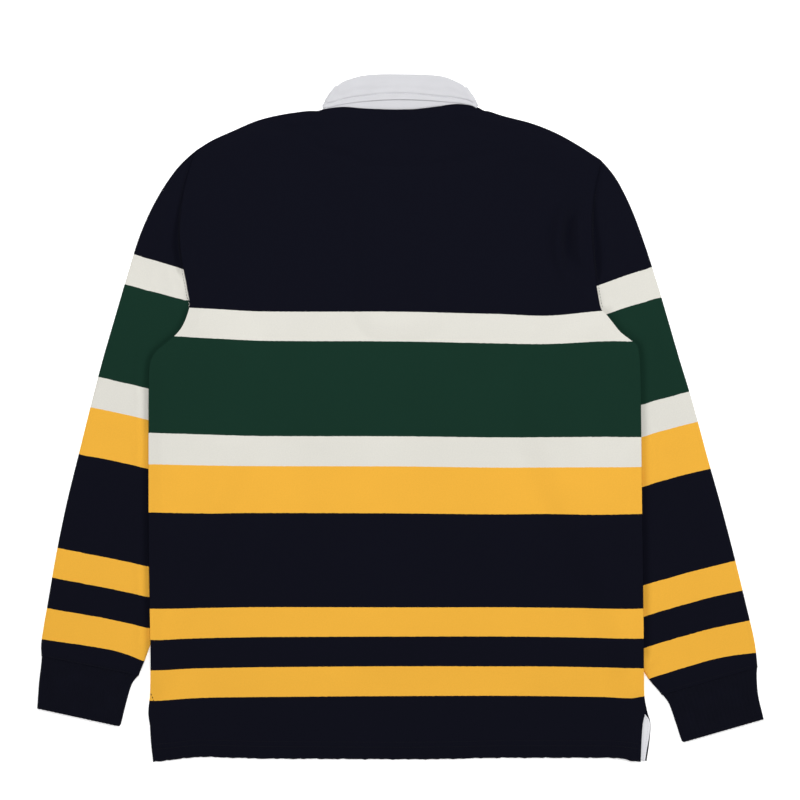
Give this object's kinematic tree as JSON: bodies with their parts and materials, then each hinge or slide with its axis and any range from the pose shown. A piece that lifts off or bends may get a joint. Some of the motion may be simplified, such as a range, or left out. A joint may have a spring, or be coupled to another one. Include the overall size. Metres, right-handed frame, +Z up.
{
  "type": "rugby shirt",
  "caption": "Long-sleeved rugby shirt with wide horizontal stripes, a white turn-down collar and rib cuffs, laid flat with its back up.",
  "frame": {"origin": "centre of the shirt's box on the surface that it lies on", "axes": "+X to the right of the laid shirt, which is the wearer's right-hand side, +Y towards the collar, +Z up off the surface"},
  "size_m": [0.8116, 0.7709, 0.0104],
  "materials": {
    "jersey": "heavy cotton jersey, navy with green, white and yellow stripes, matt",
    "rib_knit": "navy cotton rib knit, matt",
    "collar_twill": "white cotton twill, pressed, matt",
    "rubber_button": "smooth off-white rubber"
  },
  "bodies": {
    "root": {"back_panel": "jersey", "front_panel": "jersey", "sleeve_left": "jersey", "sleeve_right": "jersey", "cuff_left": "rib_knit", "cuff_right": "rib_knit", "collar_stand": "collar_twill", "collar_leaf": "collar_twill", "placket_upper": "collar_twill", "placket_under": "collar_twill", "button_1": "rubber_button", "button_2": "rubber_button", "button_3": "rubber_button", "vent_tape_right": "collar_twill"}
  },
  "joints": []
}
